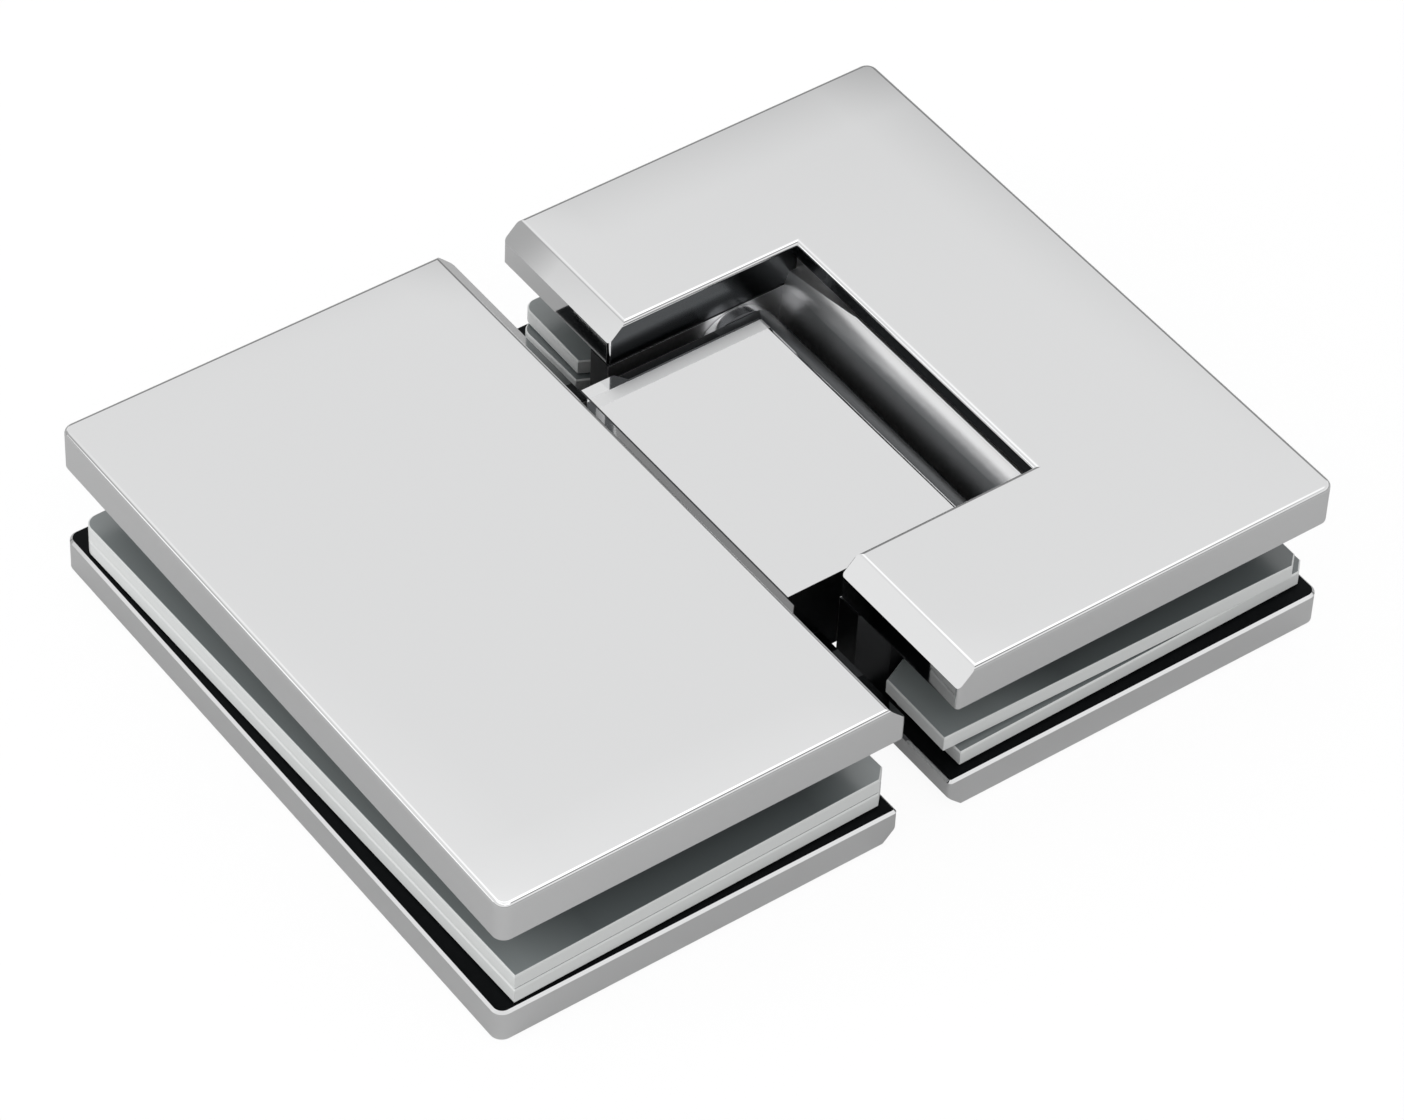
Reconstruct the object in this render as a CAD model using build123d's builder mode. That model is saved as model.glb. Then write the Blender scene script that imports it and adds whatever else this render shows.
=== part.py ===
from build123d import *
import math
import os

# Clamp-on glass door hinge, laid open flat. Two halves, each a front and a back plate that clamp
# a glass panel between gaskets, turn on one pin. The pin is fixed in the ears of the frame body;
# the pivot block, which carries the door half, turns on it in two bushes.
# +X runs from the door half to the frame half, +Y along the pin, +Z out of the front plates.
# The origin is on the underside, midway between the two halves and halfway along the pin.

# ---------------------------------------------------------------- plates
plate_length = 90.0
plate_width = 55.0
front_thickness = 6.0
back_thickness = 5.0
glass_space = 11.7         # between the front and the back plate of a half
facing_gap = 7.4           # between the facing edges of the two halves
bevel = 2.4                # on the outer edge of each facing side
rim_round = 0.6
rim_break = 0.5            # on the back plates
inner_break = 0.35
corner_radius = 1.5         # at the far corners
facing_corner = 0.5
notch_width = 46.0         # in the frame half's plates, for the pivot block

# ---------------------------------------------------------------- pin, bushes and washers
pin_inset = 18.45          # pin axis, inside the frame half's facing edge
pin_radius = 3.5
pin_end_gap = 0.8          # pin end, inside the ear's outer face
pin_end_bevel = 0.6
pin_cam_flat = 3.1         # axis to each of the four flats that the followers press on
pin_seat_flat = 2.6        # axis to the flat under each set screw
running_fit = 0.05
press_gap = 0.02
bush_wall = 0.75
bush_length = 7.5
pin_relief = 0.3           # block bore over the pin, between the bushes
front_washer = 3.2
rear_washer = 1.4
washer_play = 0.05

# ---------------------------------------------------------------- pivot block and frame body
nose_crease = 0.15         # nose radius past the block's half thickness
neck_start = 3.0           # the block widens this far inside the door half's facing edge
ear_width = 6.2            # ears of the frame body, beside the notch
casting_depth = 42.0       # from the facing edge of each half
casting_round = 3.0
strip_width = 1.85         # relief along the block's rear edge
strip_drop = 0.5
strip_start = 0.3          # relief's start at the rear face, outside the frame's facing edge
strip_skew = 1.3           # how much further along it starts at its inner side
ear_cut_side = 2.65        # diagonal across each ear's outer corner at the facing edge
ear_cut_depth = 3.05
spine_clearance = 0.9      # block nose to the ridge of the frame body's bowed spine
spine_belly = 0.6          # ridge to where the spine's shoulders start, level with the plates
spine_bow = 2.2            # ridge to the spine's edges
spine_rise = 3.1           # how far the spine stands into each plate's rebate
spine_thickness = 3.0
spine_edge_round = 0.35
spine_fall = 1.2           # the spine's edges drop this far towards its rear end
spine_fall_length = 12.0
notch_lip = 0.05
rebate_gap = 0.18
rebate_headroom = 0.6      # spine's edge to the closed end of the rebate

# ---------------------------------------------------------------- cam followers and springs
follower_web = 0.8         # between a follower's bore and the bush beside it
follower_radius = 3.3
follower_length = 14.0
follower_gap = 0.15        # follower to the full radius of the pin
follower_bevel = 0.4
spigot_radius = 1.6
spigot_length = 4.0
bore_clearance = 0.1
spring_length = 22.0
spring_radius = 3.0
spring_wire = 1.2
spring_turns = 6
spring_facets = 12         # straight runs in each turn of the wire
spring_tip_gap = 0.1
plug_length = 9.0

# ---------------------------------------------------------------- screws
screw_radius = 3.0
screw_head_radius = 5.6
screw_inset = 36.3         # from the facing edge
screw_pitch = 40.0
screw_sunk = 0.2
screw_tip_gap = 0.4
screw_hole_gap = 0.3
countersink = 45           # slope of the screw heads, in degrees
thread_gap = 0.04
thread_depth = 4.6         # blind, in the front plate
screw_socket = 4.0         # across the flats
screw_socket_depth = 2.0
set_screw_radius = 2.0
set_screw_socket = 2.0
set_screw_socket_depth = 1.2
set_screw_recess = 0.15
seat_gap = 0.02

# ---------------------------------------------------------------- gaskets
gasket_thickness = 2.2
gasket_gap = 0.1           # under each gasket
gasket_width = 52.4
gasket_length = 86.4
gasket_hold = 0.2          # side of the cut-out to the casting
gasket_corner = 1.8
gasket_clip = 1.5
gasket_break = 0.2         # on its long edges, from the cutter
mouth_flare = 1.7
mouth_flare_length = 3.5
frame_front_inset = 1.5    # near edge of each loose gasket, inside the facing edge
frame_back_inset = 1.8
door_inset = 1.05
frame_front_slip = 2.2     # its front edge, inside the plate's front end
frame_back_slip = 1.9
door_slip = 1.1
frame_front_skew = -0.9    # how far it has turned, in degrees
frame_back_skew = 0.9
door_skew = 1.2

# ---------------------------------------------------------------- derived places
DOOR = -1
FRAME = 1
inner_back = back_thickness
inner_front = back_thickness + glass_space
outer_front = inner_front + front_thickness
half_thickness = glass_space / 2
pin_z = inner_back + half_thickness
frame_edge = facing_gap / 2
pin_x = frame_edge + pin_inset
nose_radius = half_thickness + nose_crease
spine_ridge = pin_x + nose_radius + spine_clearance
spine_edge = spine_ridge + spine_bow
notch_end = spine_edge + notch_lip
notch_half = notch_width / 2
casting_half = notch_half + ear_width
casting_width = 2 * casting_half
block_front = washer_play * 2 + front_washer - notch_half
block_rear = notch_half - rear_washer - washer_play * 2
bush_bore = pin_radius + running_fit
bush_radius = bush_bore + bush_wall
follower_bore = follower_radius + bore_clearance
follower_ys = (
    block_front + bush_length + follower_web + follower_bore,
    block_rear - bush_length - follower_web - follower_bore,
)
follower_tip = pin_x - pin_radius - follower_gap
spring_head = follower_tip - follower_length - spring_tip_gap
spring_foot = spring_head - spring_length
plug_tip = spring_foot - spring_tip_gap
reach = plate_length + plate_width          # longer than anything it has to pass
nearly = 0.01                               # how close an edge has to lie to be picked


def side_x(half, inset):
    """X of a line that lies inset inside the facing edge of the given half."""
    return half * (facing_gap / 2 + inset)


def along_pin(y):
    """Plane across the pin at y, drawn in X and Z, whose extrusions run towards +Y."""
    return Plane(origin=(0, y, 0), x_dir=(-1, 0, 0), z_dir=(0, 1, 0))


def along_x(x):
    """Plane across X at x, drawn in Y and Z, whose extrusions run towards +X."""
    return Plane(origin=(x, 0, 0), x_dir=(0, 1, 0), z_dir=(1, 0, 0))


def at_pin():
    """Location of the pin's axis on an along_pin plane."""
    return Locations((-pin_x, pin_z))


def at_screws(half):
    """Locations of the two clamp screws of a half on a plan plane."""
    x = side_x(half, screw_inset)
    return Locations((x, -screw_pitch / 2), (x, screw_pitch / 2))


def at_followers():
    """Locations of the two follower bores on an along_x plane."""
    return Locations(*[(y, pin_z) for y in follower_ys])


def save(piece, name):
    """Label a finished piece and write it as a STEP file."""
    piece.part.label = name
    export_step(piece.part, f"parts/{name}.step")


os.makedirs("parts", exist_ok=True)


# ---------------------------------------------------------------- plates
def plate(half, inner, outer):
    """A clamp plate: bevelled on its facing edge, rounded at its rims, notched on the frame half."""
    up = math.copysign(1, outer - inner)
    facing = side_x(half, 0)
    far = side_x(half, plate_width)
    with BuildPart() as blank:
        with BuildSketch(Plane.XZ):
            with BuildLine():
                Polyline(
                    (facing, inner),
                    (facing, outer - up * bevel),
                    (facing + half * bevel, outer),
                    (far, outer),
                    (far, inner),
                    close=True,
                )
            make_face()
        extrude(amount=plate_length / 2, both=True)
        with BuildSketch(Plane.XY.offset(min(inner, outer))) as plan:
            with Locations(((facing + far) / 2, 0)):
                Rectangle(plate_width, plate_length)
            if half == FRAME:
                with Locations((facing, 0)):
                    Rectangle(2 * (notch_end - facing), notch_width, mode=Mode.SUBTRACT)
            fillet(plan.vertices().filter_by(lambda v: abs(v.X - far) < nearly), corner_radius)
            fillet(plan.vertices().filter_by(lambda v: abs(v.X - facing) < nearly), facing_corner)
        extrude(amount=abs(outer - inner), mode=Mode.INTERSECT)
        around = blank.edges().filter_by(
            lambda e: abs(e.center().Z - inner) < rim_round and abs(e.center().Y) > notch_half
            or abs(e.center().Z - inner) < rim_round and half == DOOR
        )
        chamfer(around, inner_break)
        rim = blank.edges().filter_by(lambda e: abs(e.center().Z - outer) < nearly)
        if outer > inner:
            fillet(rim, rim_round)
        else:
            chamfer(rim, rim_break)
    return blank


def spine_pocket(inner, rise):
    """The room for the frame body's spine in one of its plates, from the plate's inner face."""
    depth = spine_thickness + 2 * rebate_gap
    with BuildPart() as pocket:
        with BuildSketch(Plane.XY.offset(inner)):
            with Locations((notch_end - rebate_gap + depth / 2, 0)):
                Rectangle(depth, notch_width)
        extrude(amount=rise + math.copysign(rebate_headroom, rise))
    return pocket


def front_plate(half):
    """A front plate, with blind threaded holes for the clamp screws in its inner face."""
    blank = plate(half, inner_front, outer_front)
    pocket = spine_pocket(inner_front, spine_rise)
    with BuildPart() as piece:
        add(blank.part)
        with BuildSketch(Plane.XY.offset(inner_front)):
            with at_screws(half):
                Circle(screw_radius + thread_gap)
        extrude(amount=thread_depth, mode=Mode.SUBTRACT)
        if half == FRAME:
            add(pocket.part, mode=Mode.SUBTRACT)
    return piece


def back_plate(half):
    """A back plate, countersunk from below for the clamp screws."""
    blank = plate(half, inner_back, 0)
    pocket = spine_pocket(inner_back, -spine_rise)
    cone = screw_head_radius - screw_radius + screw_sunk
    with BuildPart() as piece:
        add(blank.part)
        with BuildSketch(Plane.XY):
            with at_screws(half):
                Circle(screw_radius + screw_hole_gap)
        extrude(amount=back_thickness, mode=Mode.SUBTRACT)
        with BuildSketch(Plane.XY):
            with at_screws(half):
                Circle(screw_head_radius + screw_sunk + screw_hole_gap)
        extrude(amount=cone, taper=countersink, mode=Mode.SUBTRACT)
        if half == FRAME:
            add(pocket.part, mode=Mode.SUBTRACT)
    return piece


save(front_plate(DOOR), "door_front_plate")
save(back_plate(DOOR), "door_back_plate")
save(front_plate(FRAME), "frame_front_plate")
save(back_plate(FRAME), "frame_back_plate")


# ---------------------------------------------------------------- pivot block
with BuildPart() as relief:
    with BuildSketch(Plane.XY.offset(inner_back)):
        start = frame_edge - strip_start
        inner_side = block_rear - strip_width
        with BuildLine():
            Polyline(
                (start, block_rear),
                (start + strip_skew, inner_side),
                (pin_x + 2 * nose_radius, inner_side),
                (pin_x + 2 * nose_radius, block_rear),
                close=True,
            )
        make_face()
    extrude(amount=glass_space)
    with BuildSketch(along_x(0)):
        with BuildLine():
            Polyline(
                (block_rear - strip_width, inner_back),
                (block_rear, inner_back + strip_drop),
                (block_rear, inner_front - strip_drop),
                (block_rear - strip_width, inner_front),
                close=True,
            )
        make_face()
    extrude(amount=reach, mode=Mode.SUBTRACT)

with BuildPart() as pivot_block:
    block_width = block_rear - block_front
    with BuildSketch(along_pin(block_front)):
        with at_pin():
            Circle(nose_radius)
        with Locations((-(pin_x + side_x(DOOR, neck_start)) / 2, pin_z)):
            Rectangle(pin_x - side_x(DOOR, neck_start), glass_space)
        with Locations((-pin_x, pin_z)):
            Rectangle(2 * reach, glass_space, mode=Mode.INTERSECT)
    extrude(amount=block_width)
    with BuildSketch(Plane.XY.offset(inner_back)) as tongue:
        depth = casting_depth - neck_start
        with Locations((side_x(DOOR, neck_start + depth / 2), 0)):
            Rectangle(depth, casting_width)
        fillet(tongue.vertices(), casting_round)
    extrude(amount=glass_space)
    add(relief.part, mode=Mode.SUBTRACT)
    with BuildSketch(along_pin(block_front)):
        with at_pin():
            Circle(pin_radius + pin_relief)
    extrude(amount=block_width, mode=Mode.SUBTRACT)
    with BuildSketch(along_pin(block_front), along_pin(block_rear - bush_length)):
        with at_pin():
            Circle(bush_radius + press_gap)
    extrude(amount=bush_length, mode=Mode.SUBTRACT)
    with BuildSketch(along_x(side_x(DOOR, casting_depth))):
        with at_followers():
            Circle(follower_bore)
    extrude(amount=pin_x - side_x(DOOR, casting_depth), mode=Mode.SUBTRACT)
    with BuildSketch(Plane.XY.offset(inner_back)):
        with at_screws(DOOR):
            Circle(screw_radius + screw_hole_gap)
    extrude(amount=glass_space, mode=Mode.SUBTRACT)
save(pivot_block, "pivot_block")


# ---------------------------------------------------------------- frame body
with BuildPart() as frame_body:
    ear_outline = [
        (frame_edge, notch_half),
        (frame_edge, casting_half - ear_cut_side),
        (frame_edge + ear_cut_depth, casting_half),
        (side_x(FRAME, casting_depth), casting_half),
    ]
    with BuildSketch(Plane.XY.offset(inner_back)) as plan:
        with BuildLine():
            Polyline(
                *ear_outline,
                *[(x, -y) for x, y in reversed(ear_outline)],
                close=True,
            )
        make_face()
        fillet(plan.vertices().group_by(Axis.X)[-1], casting_round)
        with Locations((notch_end - reach / 2, 0)):
            Rectangle(reach, notch_width, mode=Mode.SUBTRACT)
    extrude(amount=glass_space)
    spine_top = inner_front + spine_rise
    spine_bottom = inner_back - spine_rise
    spine_back = notch_end + spine_thickness
    with BuildSketch(Plane.XZ) as bow:
        with BuildLine():
            belly = ThreePointArc(
                (spine_ridge + spine_belly, inner_back),
                (spine_ridge, pin_z),
                (spine_ridge + spine_belly, inner_front),
            )
            TangentArc(belly @ 1, (spine_edge, spine_top), tangent=belly % 1)
            TangentArc(belly @ 0, (spine_edge, spine_bottom), tangent=(belly % 0) * -1)
            Polyline(
                (spine_edge, spine_bottom),
                (spine_back, spine_bottom),
                (spine_back, spine_top),
                (spine_edge, spine_top),
            )
        make_face()
        edges = bow.vertices().filter_by(lambda v: abs(v.X - spine_edge) < nearly)
        fillet(edges, spine_edge_round)
    extrude(amount=notch_half, both=True)
    for edge, down in ((spine_top, -1), (spine_bottom, 1)):
        with BuildSketch(along_x(spine_ridge)):
            with BuildLine():
                Polyline(
                    (notch_half - spine_fall_length, edge),
                    (notch_half, edge),
                    (notch_half, edge + down * spine_fall),
                    close=True,
                )
            make_face()
        extrude(amount=spine_back - spine_ridge, mode=Mode.SUBTRACT)
    with BuildSketch(along_pin(-casting_half)):
        with at_pin():
            Circle(pin_radius + press_gap)
    extrude(amount=casting_half - notch_half, mode=Mode.SUBTRACT)
    with BuildSketch(along_pin(notch_half)):
        with at_pin():
            Circle(pin_radius + press_gap)
    extrude(amount=casting_half - notch_half, mode=Mode.SUBTRACT)
    set_screw_y = (notch_half + casting_half) / 2
    with BuildSketch(Plane.XY.offset(inner_back)):
        with Locations((pin_x, -set_screw_y), (pin_x, set_screw_y)):
            Circle(set_screw_radius + thread_gap)
    extrude(amount=half_thickness, mode=Mode.SUBTRACT)
    with BuildSketch(Plane.XY.offset(inner_back)):
        with at_screws(FRAME):
            Circle(screw_radius + screw_hole_gap)
    extrude(amount=glass_space, mode=Mode.SUBTRACT)
save(frame_body, "frame_body")


# ---------------------------------------------------------------- pin, washers and bushes
with BuildPart() as hinge_pin:
    pin_half = casting_half - pin_end_gap
    with BuildSketch(along_pin(-pin_half)):
        with at_pin():
            Circle(pin_radius)
    extrude(amount=2 * pin_half)
    chamfer(hinge_pin.edges().filter_by(GeomType.CIRCLE), pin_end_bevel)
    cam_start = block_front + bush_length
    cam_end = block_rear - bush_length
    with BuildSketch(along_pin(cam_start)):
        with at_pin():
            Circle(2 * pin_radius)
            Rectangle(2 * pin_cam_flat, 2 * pin_cam_flat, mode=Mode.SUBTRACT)
    extrude(amount=cam_end - cam_start, mode=Mode.SUBTRACT)
    with BuildSketch(along_pin(-pin_half), along_pin(notch_half)):
        with Locations((-pin_x, pin_z - pin_seat_flat - pin_radius)):
            Rectangle(2 * pin_radius, 2 * pin_radius)
    extrude(amount=pin_half - notch_half, mode=Mode.SUBTRACT)
save(hinge_pin, "hinge_pin")


def ring(start, length, outer, bore):
    """A plain ring on the pin's axis."""
    with BuildPart() as piece:
        with BuildSketch(along_pin(start)):
            with at_pin():
                Circle(outer)
                Circle(bore, mode=Mode.SUBTRACT)
        extrude(amount=length)
    return piece


save(ring(washer_play - notch_half, front_washer, half_thickness, bush_bore), "front_washer")
save(ring(block_rear + washer_play, rear_washer, half_thickness, bush_bore), "rear_washer")
save(ring(block_front, bush_length, bush_radius, bush_bore), "front_bush")
save(ring(block_rear - bush_length, bush_length, bush_radius, bush_bore), "rear_bush")


# ---------------------------------------------------------------- followers, springs and plugs
def follower(y):
    """A plunger that presses on the pin's flat, with a spigot inside its spring."""
    centre = Locations((y, pin_z))
    with BuildPart() as piece:
        with BuildSketch(along_x(follower_tip - follower_length)):
            with centre:
                Circle(follower_radius)
        extrude(amount=follower_length)
        chamfer(piece.edges().group_by(Axis.X)[-1], follower_bevel)
        with BuildSketch(along_x(spring_head - spigot_length)):
            with centre:
                Circle(spigot_radius)
        extrude(amount=spigot_length + spring_tip_gap)
    return piece


def spring(y):
    """A die spring of square wire, wound along X in short straight runs."""
    runs = spring_turns * spring_facets
    advance = (spring_length - spring_wire) / runs
    mean = spring_radius - spring_wire / 2
    turn = 2 * math.pi / spring_facets
    points = [
        (
            spring_foot + spring_wire / 2 + i * advance,
            y + mean * math.cos(i * turn),
            pin_z + mean * math.sin(i * turn),
        )
        for i in range(runs + 1)
    ]
    with BuildPart() as piece:
        with BuildLine() as route:
            Polyline(*points)
        with BuildSketch(Plane(origin=route.line @ 0, z_dir=route.line % 0)):
            Rectangle(spring_wire, spring_wire)
        sweep(transition=Transition.RIGHT)
    return piece


def plug(y):
    """The set screw that loads a spring, with a socket for turning it."""
    centre = Locations((y, pin_z))
    with BuildPart() as piece:
        with BuildSketch(along_x(plug_tip - plug_length)):
            with centre:
                Circle(follower_bore - thread_gap)
                RegularPolygon(screw_socket / 2, 6, major_radius=False, mode=Mode.SUBTRACT)
        extrude(amount=plug_length / 2)
        with BuildSketch(along_x(plug_tip - plug_length / 2)):
            with centre:
                Circle(follower_bore - thread_gap)
        extrude(amount=plug_length / 2)
    return piece


for end, y in zip(("front", "rear"), follower_ys):
    save(follower(y), f"{end}_cam_follower")
    save(spring(y), f"{end}_spring")
    save(plug(y), f"{end}_spring_plug")


# ---------------------------------------------------------------- screws
def clamp_screws(half):
    """The two countersunk screws that draw a back plate towards its front plate."""
    cone = screw_head_radius - screw_radius
    with BuildPart() as pair:
        with BuildSketch(Plane.XY.offset(screw_sunk)):
            with at_screws(half):
                Circle(screw_head_radius)
        extrude(amount=cone, taper=countersink)
        with BuildSketch(Plane.XY.offset(screw_sunk)):
            with at_screws(half):
                Circle(screw_radius)
        extrude(amount=inner_front + thread_depth - screw_tip_gap - screw_sunk)
        with BuildSketch(Plane.XY.offset(screw_sunk)):
            with at_screws(half):
                RegularPolygon(screw_socket / 2, 6, major_radius=False)
        extrude(amount=screw_socket_depth, mode=Mode.SUBTRACT)
    return pair


def pin_set_screw(y):
    """The set screw that holds one end of the pin from turning."""
    bottom = inner_back + set_screw_recess
    with BuildPart() as piece:
        with BuildSketch(Plane.XY.offset(bottom)):
            with Locations((pin_x, y)):
                Circle(set_screw_radius)
        extrude(amount=pin_z - pin_seat_flat - seat_gap - bottom)
        with BuildSketch(Plane.XY.offset(bottom)):
            with Locations((pin_x, y)):
                RegularPolygon(set_screw_socket / 2, 6, major_radius=False)
        extrude(amount=set_screw_socket_depth, mode=Mode.SUBTRACT)
    return piece


save(clamp_screws(DOOR), "door_clamp_screws")
save(clamp_screws(FRAME), "frame_clamp_screws")
save(pin_set_screw(-set_screw_y), "front_pin_set_screw")
save(pin_set_screw(set_screw_y), "rear_pin_set_screw")


# ---------------------------------------------------------------- gaskets
def gasket(half, level, inset, slip, skew):
    """A loose gasket, cut out round the casting and turned by skew degrees."""
    lean = math.sin(math.radians(skew))
    upright = math.cos(math.radians(skew))
    turn_room = gasket_hold + abs(lean) * casting_half
    bottom = inner_back + gasket_gap + level * (gasket_thickness + gasket_gap)
    centre_x = side_x(half, inset + gasket_width / 2)
    centre_y = slip - (plate_length - gasket_length) / 2
    plan = Plane(
        origin=(centre_x, centre_y, bottom), x_dir=(upright, lean, 0), z_dir=(0, 0, 1)
    )
    casting_x = side_x(half, casting_depth / 2)
    cut_y = (centre_x - casting_x) * lean - centre_y * upright
    cut_half = casting_half + turn_room
    near = -half * gasket_width / 2
    cut_end = near + half * (casting_depth - inset + turn_room)
    mouth = near + half * mouth_flare_length
    with BuildPart() as piece:
        with BuildSketch(plan) as outline:
            Rectangle(gasket_width, gasket_length)
            fillet(outline.vertices().group_by(Axis.X)[0].sort_by(Axis.Y)[-1], gasket_corner)
            chamfer(outline.vertices().group_by(Axis.X)[-1].sort_by(Axis.Y)[0], gasket_clip)
            with BuildLine():
                Polyline(
                    (near, cut_y - cut_half - mouth_flare),
                    (mouth, cut_y - cut_half),
                    (cut_end, cut_y - cut_half),
                    (cut_end, cut_y + cut_half),
                    (mouth, cut_y + cut_half),
                    (near, cut_y + cut_half + mouth_flare),
                    close=True,
                )
            make_face(mode=Mode.SUBTRACT)
        extrude(amount=gasket_thickness)
        chamfer(piece.edges().filter_by(Axis.Z, reverse=True), gasket_break)
    return piece


frame_back = (frame_back_inset, frame_back_slip, frame_back_skew)
frame_front = (frame_front_inset, frame_front_slip, frame_front_skew)
door_pose = (door_inset, door_slip, door_skew)
save(gasket(FRAME, 0, *frame_back), "frame_back_gasket")
save(gasket(FRAME, 1, *frame_front), "frame_front_gasket")
save(gasket(DOOR, 0, *door_pose), "door_back_gasket")
save(gasket(DOOR, 1, *door_pose), "door_front_gasket")
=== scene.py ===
import enum
import logging
import math
from dataclasses import dataclass, field
from typing import Optional, Sequence

import bmesh
import bpy
from mathutils import Matrix, Vector


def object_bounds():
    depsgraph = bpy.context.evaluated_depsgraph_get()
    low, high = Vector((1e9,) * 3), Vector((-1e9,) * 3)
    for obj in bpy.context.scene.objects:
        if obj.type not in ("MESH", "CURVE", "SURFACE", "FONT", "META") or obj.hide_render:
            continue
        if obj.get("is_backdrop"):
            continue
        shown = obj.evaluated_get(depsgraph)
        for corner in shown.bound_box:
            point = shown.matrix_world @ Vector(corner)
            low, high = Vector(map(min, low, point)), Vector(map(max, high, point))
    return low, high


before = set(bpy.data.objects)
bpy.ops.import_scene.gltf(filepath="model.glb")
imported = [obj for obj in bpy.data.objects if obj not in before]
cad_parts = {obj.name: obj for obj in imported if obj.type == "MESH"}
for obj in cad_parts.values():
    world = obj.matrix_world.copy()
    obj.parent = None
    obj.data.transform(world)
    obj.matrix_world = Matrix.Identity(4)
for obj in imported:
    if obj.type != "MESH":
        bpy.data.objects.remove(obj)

log = logging.getLogger("glass_door_hinge")

MM = 0.001
WHITE = (1.0, 1.0, 1.0, 1.0)
HAZE_DETAIL = 4.0
SENSOR_WIDTH = 36.0
CLIP_START = 0.01

Color = tuple[float, float, float]
Corner = tuple[float, float, float]


# ---------------------------------------------------------------- node helpers
def add_node(tree: bpy.types.NodeTree, kind: str, **values: object) -> bpy.types.Node:
    """Add a node and set its properties and input values.

    Args:
        tree: node tree to add to.
        kind: node type, such as "ShaderNodeMath".
        **values: node properties, or input values named in_0, in_1 and so on.

    Returns:
        The new node.
    """
    node = tree.nodes.new(kind)
    for name, value in values.items():
        if name.startswith("in_"):
            node.inputs[int(name[3:])].default_value = value
        else:
            setattr(node, name, value)
    return node


def math_node(
    tree: bpy.types.NodeTree,
    operation: str,
    first: object,
    second: object = 0.0,
    clamp: bool = False,
) -> bpy.types.NodeSocket:
    """Add a Math node whose inputs are sockets or numbers.

    Args:
        tree: node tree to add to.
        operation: Blender's name of the operation.
        first: first input, a socket or a number.
        second: second input, a socket or a number.
        clamp: whether the result is held between 0 and 1.

    Returns:
        The node's output socket.
    """
    node = tree.nodes.new("ShaderNodeMath")
    node.operation = operation
    node.use_clamp = clamp
    for socket, value in zip(node.inputs, (first, second)):
        if isinstance(value, bpy.types.NodeSocket):
            tree.links.new(value, socket)
        else:
            socket.default_value = value
    return node.outputs[0]


# ---------------------------------------------------------------- shared effects
@dataclass(frozen=True)
class Socket:
    """One input or output of a shared node group.

    Attributes:
        name: the socket's name.
        kind: its type.
        value: its default value, if it has one.
        output: whether the group gives it out.
    """

    name: str
    kind: str = "NodeSocketFloat"
    value: Optional[float] = None
    output: bool = False


def new_group(name: str, sockets: Sequence[Socket]) -> bpy.types.ShaderNodeTree:
    """Start a shader node group with named inputs and outputs.

    Args:
        name: name of the group.
        sockets: the group's inputs and outputs, in order.

    Returns:
        The group, which holds one Group Input and one Group Output node.
    """
    group = bpy.data.node_groups.new(name, "ShaderNodeTree")
    for socket in sockets:
        made = group.interface.new_socket(
            socket.name, in_out="OUTPUT" if socket.output else "INPUT", socket_type=socket.kind
        )
        if socket.value is not None:
            made.default_value = socket.value
    group.nodes.new("NodeGroupInput")
    group.nodes.new("NodeGroupOutput")
    return group


def ends_of(group: bpy.types.ShaderNodeTree) -> tuple[bpy.types.Node, bpy.types.Node]:
    """Find the Group Input and Group Output nodes of a group.

    Args:
        group: the node group.

    Returns:
        The Group Input node and the Group Output node.
    """
    start = next(n for n in group.nodes if n.bl_idname == "NodeGroupInput")
    end = next(n for n in group.nodes if n.bl_idname == "NodeGroupOutput")
    return start, end


class PolishMarks:
    """Faint haze in a surface's gloss, as buffing or moulding leaves it."""

    _group: Optional[bpy.types.ShaderNodeTree] = None

    @classmethod
    def group(cls) -> bpy.types.ShaderNodeTree:
        """The node group, made on first use.

        Returns:
            Group with inputs Vector, Haze Scale, Roughness and Haze, and output Roughness.
        """
        if cls._group is None:
            cls._group = cls._build()
        return cls._group

    @classmethod
    def _build(cls) -> bpy.types.ShaderNodeTree:
        """Build the group's nodes."""
        group = new_group(
            "polish_marks",
            (
                Socket("Vector", "NodeSocketVector"),
                Socket("Haze Scale", value=60.0),
                Socket("Roughness", value=0.1),
                Socket("Haze", value=0.02),
                Socket("Roughness", output=True),
            ),
        )
        start, end = ends_of(group)
        haze = add_node(group, "ShaderNodeTexNoise", noise_dimensions="3D")
        haze.inputs["Detail"].default_value = HAZE_DETAIL
        group.links.new(start.outputs["Vector"], haze.inputs["Vector"])
        group.links.new(start.outputs["Haze Scale"], haze.inputs["Scale"])
        centred = math_node(group, "SUBTRACT", haze.outputs["Fac"], 0.5)
        swing = math_node(group, "MULTIPLY", centred, start.outputs["Haze"])
        rough = math_node(group, "ADD", start.outputs["Roughness"], swing, clamp=True)
        group.links.new(rough, end.inputs["Roughness"])
        return group


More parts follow.
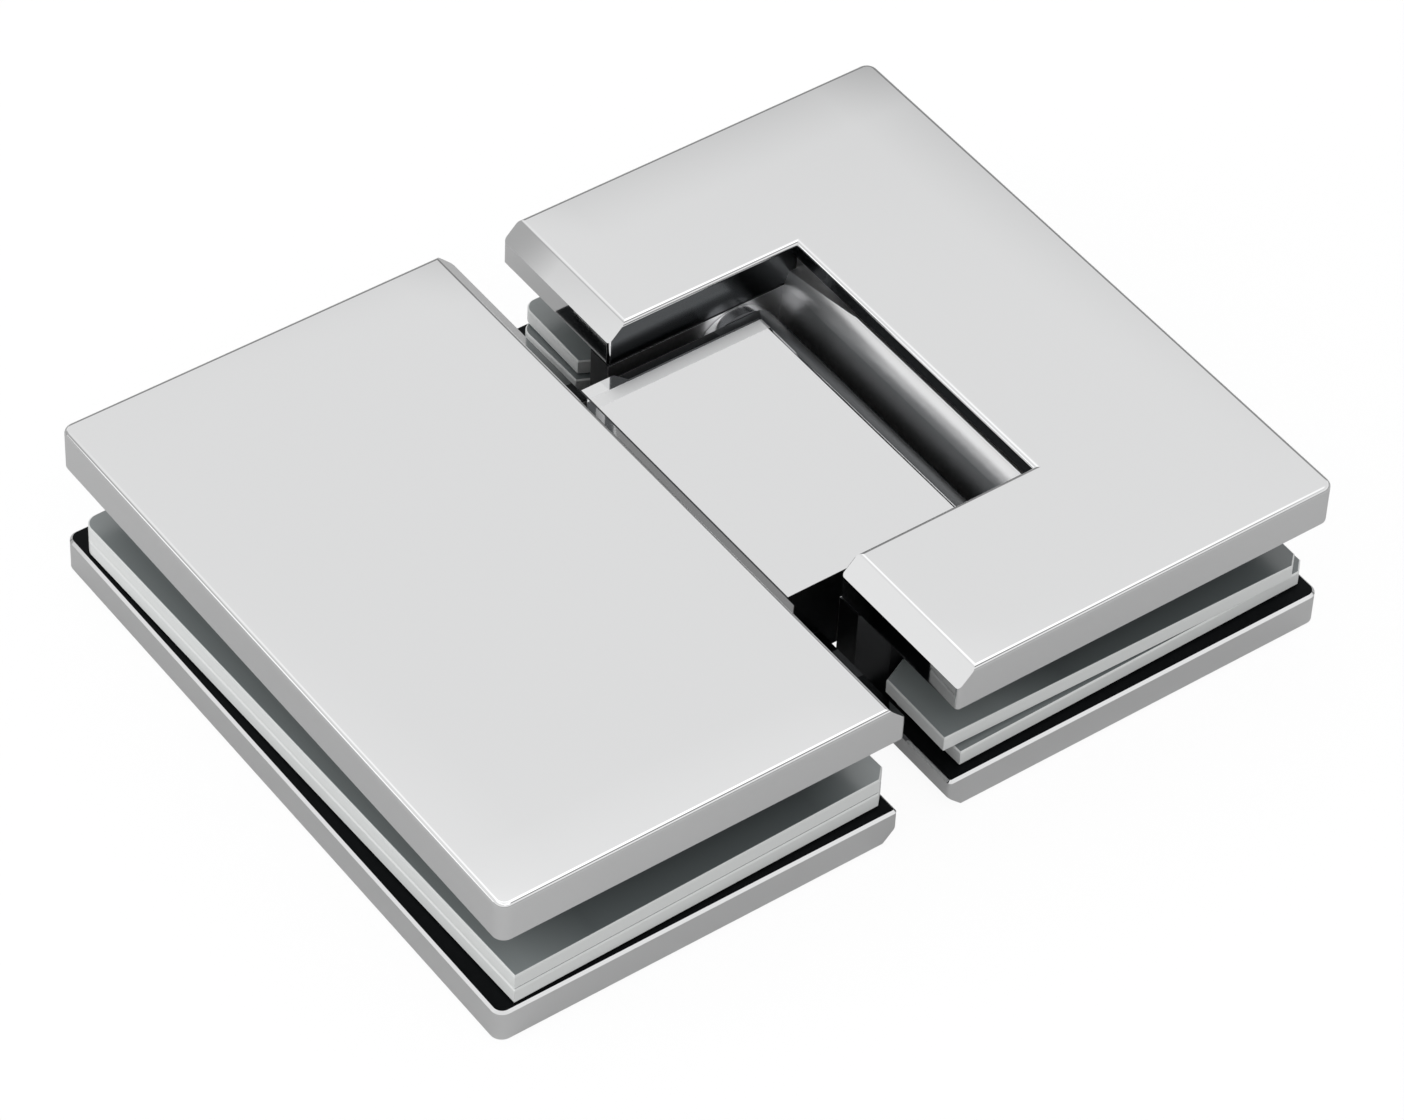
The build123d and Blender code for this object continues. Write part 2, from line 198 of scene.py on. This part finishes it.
class EdgeRollOff:
    """The slight fall that buffing leaves along the edges of a flat plate."""

    _group: Optional[bpy.types.ShaderNodeTree] = None

    @classmethod
    def group(cls) -> bpy.types.ShaderNodeTree:
        """The node group, made on first use.

        Returns:
            Group with inputs Vector, Middle, Half Width, Half Length, Margin and Fall, and
            output Height in metres.
        """
        if cls._group is None:
            cls._group = cls._build()
        return cls._group

    @classmethod
    def _build(cls) -> bpy.types.ShaderNodeTree:
        """Build the group's nodes."""
        group = new_group(
            "edge_roll_off",
            (
                Socket("Vector", "NodeSocketVector"),
                Socket("Middle", value=31.2 * MM),
                Socket("Half Width", value=27.5 * MM),
                Socket("Half Length", value=45 * MM),
                Socket("Margin", value=9 * MM),
                Socket("Fall", value=0.1 * MM),
                Socket("Height", output=True),
            ),
        )
        start, end = ends_of(group)
        split = add_node(group, "ShaderNodeSeparateXYZ")
        group.links.new(start.outputs["Vector"], split.inputs[0])
        across = math_node(group, "ABSOLUTE", split.outputs["X"])
        across = math_node(group, "SUBTRACT", across, start.outputs["Middle"])
        across = math_node(group, "ABSOLUTE", across)
        along = math_node(group, "ABSOLUTE", split.outputs["Y"])
        total: object = 0.0
        for place, half in ((across, "Half Width"), (along, "Half Length")):
            flat = math_node(group, "SUBTRACT", start.outputs[half], start.outputs["Margin"])
            past = math_node(group, "SUBTRACT", place, flat)
            past = math_node(group, "MAXIMUM", past, 0.0)
            part = math_node(group, "DIVIDE", past, start.outputs["Margin"])
            square = math_node(group, "MULTIPLY", part, part)
            total = math_node(group, "ADD", total, square)
        fall = math_node(group, "MULTIPLY", total, start.outputs["Fall"])
        height = math_node(group, "SUBTRACT", 0.0, fall)
        group.links.new(height, end.inputs["Height"])
        return group


class InsideBox:
    """A mask of the part of a surface that lies inside a box, with soft sides."""

    _group: Optional[bpy.types.ShaderNodeTree] = None

    @classmethod
    def group(cls) -> bpy.types.ShaderNodeTree:
        """The node group, made on first use.

        Returns:
            Group with inputs Vector, Low, High and Blend, and output Mask.
        """
        if cls._group is None:
            cls._group = cls._build()
        return cls._group

    @classmethod
    def _build(cls) -> bpy.types.ShaderNodeTree:
        """Build the group's nodes."""
        group = new_group(
            "inside_box",
            (
                Socket("Vector", "NodeSocketVector"),
                Socket("Low", "NodeSocketVector"),
                Socket("High", "NodeSocketVector"),
                Socket("Blend", "NodeSocketVector"),
                Socket("Mask", output=True),
            ),
        )
        start, end = ends_of(group)
        parts = {}
        for name in ("Vector", "Low", "High", "Blend"):
            parts[name] = add_node(group, "ShaderNodeSeparateXYZ")
            group.links.new(start.outputs[name], parts[name].inputs[0])
        mask: object = 1.0
        for axis in "XYZ":
            place = parts["Vector"].outputs[axis]
            above = math_node(group, "SUBTRACT", place, parts["Low"].outputs[axis])
            below = math_node(group, "SUBTRACT", parts["High"].outputs[axis], place)
            depth = math_node(group, "MINIMUM", above, below)
            share = math_node(group, "DIVIDE", depth, parts["Blend"].outputs[axis])
            share = math_node(group, "MAXIMUM", share, 0.0)
            share = math_node(group, "MINIMUM", share, 1.0)
            mask = math_node(group, "MULTIPLY", mask, share)
        group.links.new(mask, end.inputs["Mask"])
        return group


# ---------------------------------------------------------------- zones of a surface
# Both in millimetres: a place further out than any surface, and the side of a sharp zone.
AROUND = 200.0
SHARP = (0.001, 0.001, 0.001)


@dataclass(frozen=True)
class Tone:
    """Colour and roughness of a zone.

    Attributes:
        color: linear colour.
        roughness: roughness.
    """

    color: Color
    roughness: float


@dataclass(frozen=True)
class Zone:
    """A part of a surface with another colour and roughness than the rest: most zones are painted
    shade or painted light, some a rougher finish.

    Attributes:
        low: the lowest corner of the zone's box, in millimetres.
        high: its highest corner, in millimetres.
        tone: colour and roughness inside.
        blend: depth over which the finish comes in along x, y and z, in millimetres.
    """

    low: Corner
    high: Corner
    tone: Tone
    blend: Corner = SHARP

    def over(
        self,
        tree: bpy.types.NodeTree,
        place: bpy.types.NodeSocket,
        color: object,
        rough: bpy.types.NodeSocket,
    ) -> tuple[bpy.types.NodeSocket, bpy.types.NodeSocket]:
        """Lay the zone over a surface's colour and roughness.

        Args:
            tree: the material's node tree.
            place: Object coordinates.
            color: colour outside the zone, a socket or a colour.
            rough: roughness outside the zone.

        Returns:
            The colour and the roughness with the zone.
        """
        inside = add_node(tree, "ShaderNodeGroup", node_tree=InsideBox.group())
        tree.links.new(place, inside.inputs["Vector"])
        inside.inputs["Low"].default_value = [value * MM for value in self.low]
        inside.inputs["High"].default_value = [value * MM for value in self.high]
        inside.inputs["Blend"].default_value = [value * MM for value in self.blend]
        colors = add_node(tree, "ShaderNodeMix", data_type="RGBA", in_7=(*self.tone.color, 1.0))
        tree.links.new(inside.outputs["Mask"], colors.inputs[0])
        if isinstance(color, bpy.types.NodeSocket):
            tree.links.new(color, colors.inputs[6])
        else:
            colors.inputs[6].default_value = (*color, 1.0)
        values = add_node(tree, "ShaderNodeMix", data_type="FLOAT", in_3=self.tone.roughness)
        tree.links.new(inside.outputs["Mask"], values.inputs[0])
        tree.links.new(rough, values.inputs[2])
        return colors.outputs[2], values.outputs[0]


def face_zone(
    level: float,
    depth: float,
    tone: Tone,
    left: float = -AROUND,
    right: float = AROUND,
    blend: Corner = SHARP,
) -> Zone:
    """The zone of a level face.

    Args:
        level: height of the face, in millimetres.
        depth: how far the zone reaches above and below it.
        tone: colour and roughness of the face.
        left: where the zone starts along x.
        right: where it ends.
        blend: depth over which the tone comes in along x, y and z.

    Returns:
        The zone.
    """
    return Zone((left, -AROUND, level - depth), (right, AROUND, level + depth), tone, blend)


# ---------------------------------------------------------------- finishes
@dataclass(frozen=True)
class SurfaceFinish:
    """What the finishes share: a base colour, a hazy gloss and zones.

    Attributes:
        name: material name.
        color: linear base colour.
        roughness: mean roughness.
        haze: swing of the roughness over the surface.
        haze_scale: cells of haze per metre.
        zones: parts of the surface with another colour or roughness, most of them painted shade or
            painted light.
    """

    name: str
    color: Color
    roughness: float
    haze: float = 0.02
    haze_scale: float = 90.0
    zones: tuple[Zone, ...] = ()

    def material(self) -> bpy.types.Material:
        """Build the material.

        Returns:
            A new node material.
        """
        material = bpy.data.materials.new(self.name)
        material.use_nodes = True
        tree = material.node_tree
        shader = next(n for n in tree.nodes if n.bl_idname == "ShaderNodeBsdfPrincipled")
        shader.inputs["Base Color"].default_value = (*self.color, 1.0)
        place = add_node(tree, "ShaderNodeTexCoord").outputs["Object"]
        marks = add_node(tree, "ShaderNodeGroup", node_tree=PolishMarks.group())
        tree.links.new(place, marks.inputs["Vector"])
        marks.inputs["Haze Scale"].default_value = self.haze_scale
        marks.inputs["Roughness"].default_value = self.roughness
        marks.inputs["Haze"].default_value = self.haze
        color: object = self.color
        rough = marks.outputs["Roughness"]
        for zone in self.zones:
            color, rough = zone.over(tree, place, color, rough)
        if self.zones:
            tree.links.new(color, shader.inputs["Base Color"])
        tree.links.new(rough, shader.inputs["Roughness"])
        self._complete(tree, shader, place)
        return material

    def _complete(
        self, tree: bpy.types.NodeTree, shader: bpy.types.Node, place: bpy.types.NodeSocket
    ) -> None:
        """Set what only one kind of finish has.

        Args:
            tree: the material's node tree.
            shader: its Principled BSDF.
            place: Object coordinates.
        """


@dataclass(frozen=True)
class MetalFinish(SurfaceFinish):
    """A polished or ground metal.

    Attributes:
        edge_fall: how far buffing has lowered a plate's edges, in metres.
    """

    edge_fall: float = 0.0

    def _complete(
        self, tree: bpy.types.NodeTree, shader: bpy.types.Node, place: bpy.types.NodeSocket
    ) -> None:
        """Make the surface metal, and let a plate's edges fall away.

        Args:
            tree: the material's node tree.
            shader: its Principled BSDF.
            place: Object coordinates.
        """
        shader.inputs["Metallic"].default_value = 1.0
        if self.edge_fall > 0:
            rolled = add_node(tree, "ShaderNodeGroup", node_tree=EdgeRollOff.group())
            tree.links.new(place, rolled.inputs["Vector"])
            rolled.inputs["Fall"].default_value = self.edge_fall
            slope = add_node(tree, "ShaderNodeBump")
            slope.inputs["Distance"].default_value = 1.0
            tree.links.new(rolled.outputs["Height"], slope.inputs["Height"])
            tree.links.new(slope.outputs["Normal"], shader.inputs["Normal"])


@dataclass(frozen=True)
class PlasticFinish(SurfaceFinish):
    """A plain moulded or sheet plastic.

    Attributes:
        haze: swing of the roughness over the surface.
        haze_scale: cells of haze per metre.
        ior: index of refraction.
    """

    haze: float = 0.1
    haze_scale: float = 250.0
    ior: float = 1.5

    def _complete(
        self, tree: bpy.types.NodeTree, shader: bpy.types.Node, place: bpy.types.NodeSocket
    ) -> None:
        """Set the plastic's index of refraction.

        Args:
            tree: the material's node tree.
            shader: its Principled BSDF.
            place: Object coordinates.
        """
        shader.inputs["IOR"].default_value = self.ior


CHROME = (0.89, 0.893, 0.897)
# Painted shade: near black on the plates' inner faces, for the shade in the gaps between plates
# and gaskets.
PAINTED_INNER_SHADE = Tone((0.010, 0.011, 0.012), 0.5)
# Painted shade: dark on the notch walls, for the shade inside the notch.
PAINTED_NOTCH_SHADE = Tone((0.10, 0.105, 0.11), 0.22)
# Painted shade: dark on the pivot block below its top, on the body's ears and along a seam, where
# the gaps lie in shade.
PAINTED_GAP_SHADE = Tone((0.07, 0.072, 0.075), 0.3)
# Painted shade on the block's nose, in the gap beside the spine.
NOSE = Tone((0.14, 0.145, 0.15), 0.3)
STRIP = Tone(CHROME, 0.4)
# Painted shade: the gaskets' faces dark under the plates; painted light: lighter where the plates
# leave them open.
SHEET_FACE = Tone((0.145, 0.165, 0.168), 0.22)
SHEET_PAINTED_LIGHT = Tone((0.30, 0.33, 0.333), 0.22)

# Levels and places of the faces that the zones lie on, in millimetres.
BACK_INNER = 5.0
FRONT_INNER = 16.7
UNDER_BLOCK_TOP = 16.6
OVER_BLOCK_TOP = 16.8
BELOW_ALL = -1.0
ABOVE_ALL = 30.0
NOTCH_HALF = 23.04
NOTCH_START = 3.0
NOTCH_END = 31.36
NOTCH_TOP = 22.2
NOSE_START = 18.0
NOSE_FOOT = 8.0
STRIP_START = -5.0
STRIP_FRONT = 17.9
STRIP_REAR = 19.7
SEAM_START = -1.6
SEAM_END = -1.25
PLATE_FACE_DEPTH = 0.02
SHEET_FACE_DEPTH = 0.03
SHEET_FACES = (5.1, 7.3, 7.4, 9.6)
OPEN_FACES = (7.4, 9.6)
OPEN_ENDS = ((-AROUND, -45.0), (-14.0, 22.0))
OPEN_BLEND = (9.0, 0.001, 0.001)

# Painted shade on the plates: their inner faces and the notch walls.
PLATE_ZONES = (
    face_zone(BACK_INNER, PLATE_FACE_DEPTH, PAINTED_INNER_SHADE),
    face_zone(FRONT_INNER, PLATE_FACE_DEPTH, PAINTED_INNER_SHADE),
    # Painted shade on the notch walls.
    Zone(
        (NOTCH_START, -NOTCH_HALF, UNDER_BLOCK_TOP), (NOTCH_END, NOTCH_HALF, NOTCH_TOP), PAINTED_NOTCH_SHADE
    ),
)
BLOCK_ZONES = (
    # Painted shade on all that lies below its top face.
    Zone((-AROUND, -AROUND, BELOW_ALL), (AROUND, AROUND, UNDER_BLOCK_TOP), PAINTED_GAP_SHADE),
    # Painted shade on the nose.
    Zone((NOSE_START, -AROUND, NOSE_FOOT), (AROUND, AROUND, UNDER_BLOCK_TOP), NOSE),
    # The relief strip along its rear edge.
    Zone((STRIP_START, STRIP_FRONT, UNDER_BLOCK_TOP), (AROUND, STRIP_REAR, OVER_BLOCK_TOP), STRIP),
    # Painted shadow line: a thin dark strip on its top at the seam beside the door half's front
    # plate.
    Zone((SEAM_START, -AROUND, UNDER_BLOCK_TOP), (SEAM_END, AROUND, OVER_BLOCK_TOP), PAINTED_GAP_SHADE),
)
# Painted shade on the ears, beside the notch.
BODY_ZONES = (
    Zone((-AROUND, NOTCH_HALF, BELOW_ALL), (AROUND, AROUND, ABOVE_ALL), PAINTED_GAP_SHADE),
    Zone((-AROUND, -AROUND, BELOW_ALL), (AROUND, -NOTCH_HALF, ABOVE_ALL), PAINTED_GAP_SHADE),
)
# Painted shade on the gaskets' faces under the plates, and painted light, a lighter tone, where
# the plates leave them open.
SHEET_ZONES = tuple(
    face_zone(level, SHEET_FACE_DEPTH, SHEET_FACE) for level in SHEET_FACES
) + tuple(
    face_zone(level, SHEET_FACE_DEPTH, SHEET_PAINTED_LIGHT, left, right, OPEN_BLEND)
    for left, right in OPEN_ENDS
    for level in OPEN_FACES
)


class Finish(enum.Enum):
    """The finishes on the hinge."""

    CHROME_PLATE = MetalFinish(
        "chrome_plate", CHROME, 0.05, haze=0.02, zones=PLATE_ZONES, edge_fall=0.12 * MM
    )
    CHROME_BLOCK = MetalFinish("chrome_block", CHROME, 0.07, haze=0.03, zones=BLOCK_ZONES)
    SATIN_BODY = MetalFinish("satin_body", CHROME, 0.31, haze=0.03, zones=BODY_ZONES)
    PIN_STEEL = MetalFinish("pin_steel", (0.56, 0.56, 0.57), 0.22)
    WASHER_STEEL = MetalFinish("washer_steel", (0.55, 0.55, 0.56), 0.2)
    SCREW_STEEL = MetalFinish("screw_steel", (0.60, 0.60, 0.61), 0.2)
    SPRING_STEEL = MetalFinish("spring_steel", (0.42, 0.42, 0.43), 0.3)
    ACETAL = PlasticFinish("acetal", (0.82, 0.82, 0.79), 0.4)
    VINYL = PlasticFinish("grey_vinyl", (0.74, 0.755, 0.75), 0.3, ior=1.9, zones=SHEET_ZONES)


class Finishes:
    """Makes each finish's material once and hands it out."""

    def __init__(self) -> None:
        """Start with no material made."""
        self._made: dict[Finish, bpy.types.Material] = {}

    def of(self, finish: Finish) -> bpy.types.Material:
        """The material of a finish, made on first use.

        Args:
            finish: the finish.

        Returns:
            Its material.
        """
        if finish not in self._made:
            self._made[finish] = finish.value.material()
        return self._made[finish]


def dress(node: str, material: bpy.types.Material) -> None:
    """Give a CAD node's object one material.

    Args:
        node: name of the CAD node.
        material: the material for its only slot.
    """
    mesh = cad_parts[node].data
    mesh.materials.clear()
    mesh.materials.append(material)


# ---------------------------------------------------------------- sub-assemblies
@dataclass
class Dressed:
    """A group of CAD nodes that share a finish.

    Attributes:
        title: what the group is.
        finish: its finish.
        nodes: names of its CAD nodes.
    """

    title: str
    finish: Finish
    nodes: tuple[str, ...]

    def build(self, finishes: Finishes) -> None:
        """Dress the group's nodes.

        Args:
            finishes: where the materials come from.
        """
        for node in self.nodes:
            dress(node, finishes.of(self.finish))
        log.info("%s: %s", self.title, ", ".join(self.nodes))


HINGE = (
    Dressed(
        "clamp plates",
        Finish.CHROME_PLATE,
        ("door_front_plate", "door_back_plate", "frame_front_plate", "frame_back_plate"),
    ),
    Dressed("pivot block", Finish.CHROME_BLOCK, ("pivot_block",)),
    Dressed("frame body", Finish.SATIN_BODY, ("frame_body",)),
    Dressed(
        "pin and followers",
        Finish.PIN_STEEL,
        ("hinge_pin", "front_cam_follower", "rear_cam_follower"),
    ),
    Dressed("washers", Finish.WASHER_STEEL, ("front_washer", "rear_washer")),
    Dressed("bushes", Finish.ACETAL, ("front_bush", "rear_bush")),
    Dressed("springs", Finish.SPRING_STEEL, ("front_spring", "rear_spring")),
    Dressed(
        "screws",
        Finish.SCREW_STEEL,
        (
            "door_clamp_screws",
            "frame_clamp_screws",
            "front_pin_set_screw",
            "rear_pin_set_screw",
            "front_spring_plug",
            "rear_spring_plug",
        ),
    ),
    Dressed(
        "gaskets",
        Finish.VINYL,
        ("door_back_gasket", "door_front_gasket", "frame_back_gasket", "frame_front_gasket"),
    ),
)


# ---------------------------------------------------------------- studio
def mix_shaders(
    tree: bpy.types.NodeTree,
    share: object,
    first: bpy.types.Node,
    second: bpy.types.Node,
) -> bpy.types.Node:
    """Add a Mix Shader node.

    Args:
        tree: node tree to add to.
        share: share of the second shader, a socket or a number.
        first: node of the first shader.
        second: node of the second shader.

    Returns:
        The new node.
    """
    mixed = add_node(tree, "ShaderNodeMixShader")
    if isinstance(share, bpy.types.NodeSocket):
        tree.links.new(share, mixed.inputs[0])
    else:
        mixed.inputs[0].default_value = share
    tree.links.new(first.outputs[0], mixed.inputs[1])
    tree.links.new(second.outputs[0], mixed.inputs[2])
    return mixed


@dataclass(frozen=True)
class Lamp:
    """An area lamp that looks at the hinge.

    Attributes:
        name: lamp name.
        azimuth: heading from the hinge, in degrees from -Y towards +X.
        elevation: height above the floor, in degrees.
        distance: metres from the hinge.
        width: metres.
        height: metres.
        radiance: brightness of the lamp's face.
        mirrored: whether metal shows the lamp.
    """

    name: str
    azimuth: float
    elevation: float
    distance: float
    width: float
    height: float
    radiance: float
    mirrored: bool = True

    def build(self) -> None:
        """Add the lamp to the scene."""
        data = bpy.data.lights.new(self.name, "AREA")
        data.shape = "RECTANGLE"
        data.size = self.width
        data.size_y = self.height
        data.energy = self.radiance * math.pi * self.width * self.height
        lamp = bpy.data.objects.new(self.name, data)
        bpy.context.scene.collection.objects.link(lamp)
        lamp.visible_glossy = self.mirrored
        outward = heading(self.azimuth, self.elevation)
        turn = outward.to_track_quat("Z", "Y").to_matrix().to_4x4()
        lamp.matrix_world = Matrix.Translation(outward * self.distance) @ turn


def heading(azimuth: float, elevation: float) -> Vector:
    """Unit vector from the hinge towards a heading.

    Args:
        azimuth: degrees from -Y towards +X.
        elevation: degrees above the floor.

    Returns:
        The direction.
    """
    a = math.radians(azimuth)
    e = math.radians(elevation)
    return Vector((math.sin(a) * math.cos(e), -math.cos(a) * math.cos(e), math.sin(e)))


@dataclass(frozen=True)
class Panel:
    """A round panel in the surroundings, lighter or darker than the room behind it.

    Attributes:
        azimuth: heading of its middle, in degrees from -Y towards +X.
        elevation: height of its middle, in degrees.
        radius: half of its angular width at half strength, in degrees.
        edge: width of its soft edge, in degrees.
        brightness: brightness at its middle.
    """

    azimuth: float
    elevation: float
    radius: float
    edge: float
    brightness: float

    def over(
        self,
        tree: bpy.types.NodeTree,
        direction: bpy.types.NodeSocket,
        behind: bpy.types.NodeSocket,
    ) -> bpy.types.NodeSocket:
        """Lay the panel over the brightness behind it.

        Args:
            tree: the world's node tree.
            direction: the direction looked at.
            behind: brightness of what lies behind.

        Returns:
            The brightness with the panel in front.
        """
        dot = add_node(tree, "ShaderNodeVectorMath", operation="DOT_PRODUCT")
        tree.links.new(direction, dot.inputs[0])
        dot.inputs[1].default_value = heading(self.azimuth, self.elevation)
        angle = math_node(tree, "ARCCOSINE", dot.outputs["Value"])
        inner = math.radians(self.radius - self.edge / 2)
        outer = math.radians(self.radius + self.edge / 2)
        ramp = add_node(
            tree,
            "ShaderNodeMapRange",
            interpolation_type="SMOOTHSTEP",
            in_1=inner,
            in_2=outer,
            in_3=1.0,
            in_4=0.0,
        )
        tree.links.new(angle, ramp.inputs[0])
        away = math_node(tree, "SUBTRACT", self.brightness, behind)
        step = math_node(tree, "MULTIPLY", away, ramp.outputs[0])
        return math_node(tree, "ADD", behind, step)


@dataclass
class Studio:
    """Floor, surroundings and lamps.

    Attributes:
        floor_size: side of the floor, in metres.
        floor_drop: how far the floor lies below the hinge, in metres.
        floor_tone: how much light the floor gives back to the metal.
        shadow_share: how much of the floor's brightness comes from the lamps.
        floor_veil: brightness that the floor adds to the white seen through it.
        ground: brightness of the room below the floor, in the metal.
        fill: plain brightness of the surroundings as matt surfaces receive it.
        sky: brightness of the surroundings by the sine of the elevation.
        panels: panels in the surroundings.
        lamps: the studio's lamps.
    """

    floor_size: float = 6.0
    floor_drop: float = 0.0002
    floor_tone: float = 0.56
    shadow_share: float = 0.14
    floor_veil: float = 0.077
    ground: float = 0.45
    fill: float = 0.75
    sky: tuple[tuple[float, float], ...] = (
        (0.0, 0.08),
        (0.06, 0.20),
        (0.20, 0.75),
        (0.43, 0.86),
        (0.62, 0.79),
        (0.73, 0.80),
        (0.78, 0.87),
        (0.88, 1.30),
        (0.93, 1.30),
        (1.0, 0.86),
    )
    panels: tuple[Panel, ...] = (
        Panel(40.0, 50.0, 8.0, 6.0, 0.10),
        Panel(140.0, 8.0, 29.0, 12.0, 0.25),
        Panel(-150.0, 24.0, 17.0, 4.0, 0.42),
        Panel(132.0, 36.0, 2.5, 2.0, 1.3),
        Panel(-125.0, 9.0, 6.0, 6.0, 1.5),
    )
    lamps: tuple[Lamp, ...] = field(
        default_factory=lambda: (
            Lamp("front_softbox", -10.0, 55.0, 1.6, 0.9, 0.4, 1.0),
            Lamp("left_reflector", -105.0, 14.0, 1.2, 0.8, 0.4, 5.5, mirrored=False),
            Lamp("front_reflector", 12.0, 12.0, 1.2, 0.8, 0.4, 1.2, mirrored=False),
        )
    )

    def build(self) -> None:
        """Add the floor, the surroundings and the lamps."""
        self._floor()
        self._surroundings()
        for lamp in self.lamps:
            lamp.build()
        bpy.context.scene.view_settings.view_transform = "Standard"
        log.info("studio: floor, surroundings and %d lamps", len(self.lamps))

    def _floor(self) -> None:
        """Lay the floor: white to the eye with a faint shadow, plain pale paper in the metal.

        What swings below it shows through, because the floor stops no light from beneath and
        lets the eye see the white room behind it.
        """
        bm = bmesh.new()
        bmesh.ops.create_grid(bm, x_segments=1, y_segments=1, size=self.floor_size / 2)
        bmesh.ops.translate(bm, verts=bm.verts, vec=(0, 0, -self.floor_drop))
        mesh = bpy.data.meshes.new("floor")
        bm.to_mesh(mesh)
        bm.free()
        floor = bpy.data.objects.new("floor", mesh)
        bpy.context.scene.collection.objects.link(floor)
        mesh.materials.append(self._paper())
        floor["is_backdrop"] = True

    def _paper(self) -> bpy.types.Material:
        """Build the floor's material.

        Returns:
            A new node material.
        """
        material = bpy.data.materials.new("white_paper")
        material.use_nodes = True
        tree = material.node_tree
        tree.nodes.clear()
        out = add_node(tree, "ShaderNodeOutputMaterial")
        path = add_node(tree, "ShaderNodeLightPath")
        tone = (self.floor_tone, self.floor_tone, self.floor_tone, 1.0)
        paper = add_node(tree, "ShaderNodeBsdfDiffuse", in_0=tone)
        clear = add_node(tree, "ShaderNodeBsdfTransparent", in_0=WHITE)
        veil = add_node(tree, "ShaderNodeEmission", in_1=self.floor_veil)
        thin = mix_shaders(tree, self.shadow_share, clear, paper)
        seen = add_node(tree, "ShaderNodeAddShader")
        tree.links.new(thin.outputs[0], seen.inputs[0])
        tree.links.new(veil.outputs[0], seen.inputs[1])
        above = mix_shaders(tree, path.outputs["Is Camera Ray"], paper, seen)
        side = add_node(tree, "ShaderNodeNewGeometry")
        sheet = mix_shaders(tree, side.outputs["Backfacing"], above, clear)
        tree.links.new(sheet.outputs[0], out.inputs[0])
        return material

    def _surroundings(self) -> None:
        """Surround the hinge with a room that is white to the eye and graded in the metal."""
        world = bpy.data.worlds.new("studio_room")
        bpy.context.scene.world = world
        world.use_nodes = True
        tree = world.node_tree
        tree.nodes.clear()
        out = add_node(tree, "ShaderNodeOutputWorld")
        place = add_node(tree, "ShaderNodeTexCoord")
        split = add_node(tree, "ShaderNodeSeparateXYZ")
        tree.links.new(place.outputs["Generated"], split.inputs[0])
        curve = add_node(tree, "ShaderNodeFloatCurve")
        scale = max(value for _, value in self.sky)
        self._shape(curve, scale)
        tree.links.new(split.outputs["Z"], curve.inputs["Value"])
        strength = math_node(tree, "MULTIPLY", curve.outputs[0], scale)
        for panel in self.panels:
            strength = panel.over(tree, place.outputs["Generated"], strength)
        below = math_node(tree, "LESS_THAN", split.outputs["Z"], 0.0)
        ground = math_node(tree, "MULTIPLY", below, self.ground)
        strength = math_node(tree, "MAXIMUM", strength, ground)
        room = add_node(tree, "ShaderNodeBackground", in_0=WHITE)
        tree.links.new(strength, room.inputs["Strength"])
        plain = add_node(tree, "ShaderNodeBackground", in_0=WHITE, in_1=self.fill)
        white = add_node(tree, "ShaderNodeBackground", in_0=WHITE, in_1=1.0)
        path = add_node(tree, "ShaderNodeLightPath")
        mirrored = math_node(
            tree,
            "MAXIMUM",
            path.outputs["Is Glossy Ray"],
            path.outputs["Is Transmission Ray"],
        )
        indoors = mix_shaders(tree, mirrored, plain, room)
        shown = mix_shaders(tree, path.outputs["Is Camera Ray"], indoors, white)
        tree.links.new(shown.outputs[0], out.inputs[0])

    def _shape(self, node: bpy.types.Node, scale: float) -> None:
        """Set a Float Curve node to the sky's brightness.

        Args:
            node: the curve's node.
            scale: the sky's highest brightness, which is 1 on the curve.
        """
        curve = node.mapping.curves[0]
        while len(curve.points) < len(self.sky):
            curve.points.new(0.5, 0.5)
        for point, (height, value) in zip(curve.points, self.sky):
            point.location = (height, value / scale)
            point.handle_type = "VECTOR"
        node.mapping.update()


@dataclass(frozen=True)
class Camera:
    """The camera, placed by where it looks from.

    Attributes:
        azimuth: degrees from -Y towards +X.
        elevation: degrees above the floor.
        roll: degrees, turning the camera to its left.
        distance: metres to the target.
        target: the point that the middle of the view shows, from the middle of the hinge.
        lens: focal length in millimetres.
    """

    azimuth: float = -37.875
    elevation: float = 45.177
    roll: float = 2.869
    distance: float = 0.72858
    target: Corner = (-0.00267, -0.00516, 0.0)
    lens: float = 160.56

    def build(self, middle: Vector) -> None:
        """Add the camera and make it the scene's.

        Args:
            middle: middle of the hinge's box.
        """
        outward = heading(self.azimuth, self.elevation)
        flat_right = Vector((0, 0, 1)).cross(outward).normalized()
        flat_up = outward.cross(flat_right)
        roll = math.radians(self.roll)
        right = flat_right * math.cos(roll) + flat_up * math.sin(roll)
        up = outward.cross(right)
        data = bpy.data.cameras.new("camera")
        data.lens = self.lens
        data.sensor_width = SENSOR_WIDTH
        data.clip_start = CLIP_START
        camera = bpy.data.objects.new("camera", data)
        bpy.context.scene.collection.objects.link(camera)
        place = middle + Vector(self.target) + outward * self.distance
        turn = Matrix((right, up, outward)).transposed().to_4x4()
        camera.matrix_world = Matrix.Translation(place) @ turn
        bpy.context.scene.camera = camera


def main() -> None:
    """Dress the hinge, light it and place the camera."""
    logging.basicConfig(level=logging.INFO, format="%(message)s")
    cad_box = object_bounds()
    finishes = Finishes()
    for group in HINGE:
        group.build(finishes)
    Studio().build()
    Camera().build((Vector(cad_box[0]) + Vector(cad_box[1])) / 2)


if __name__ == "__main__":
    main()
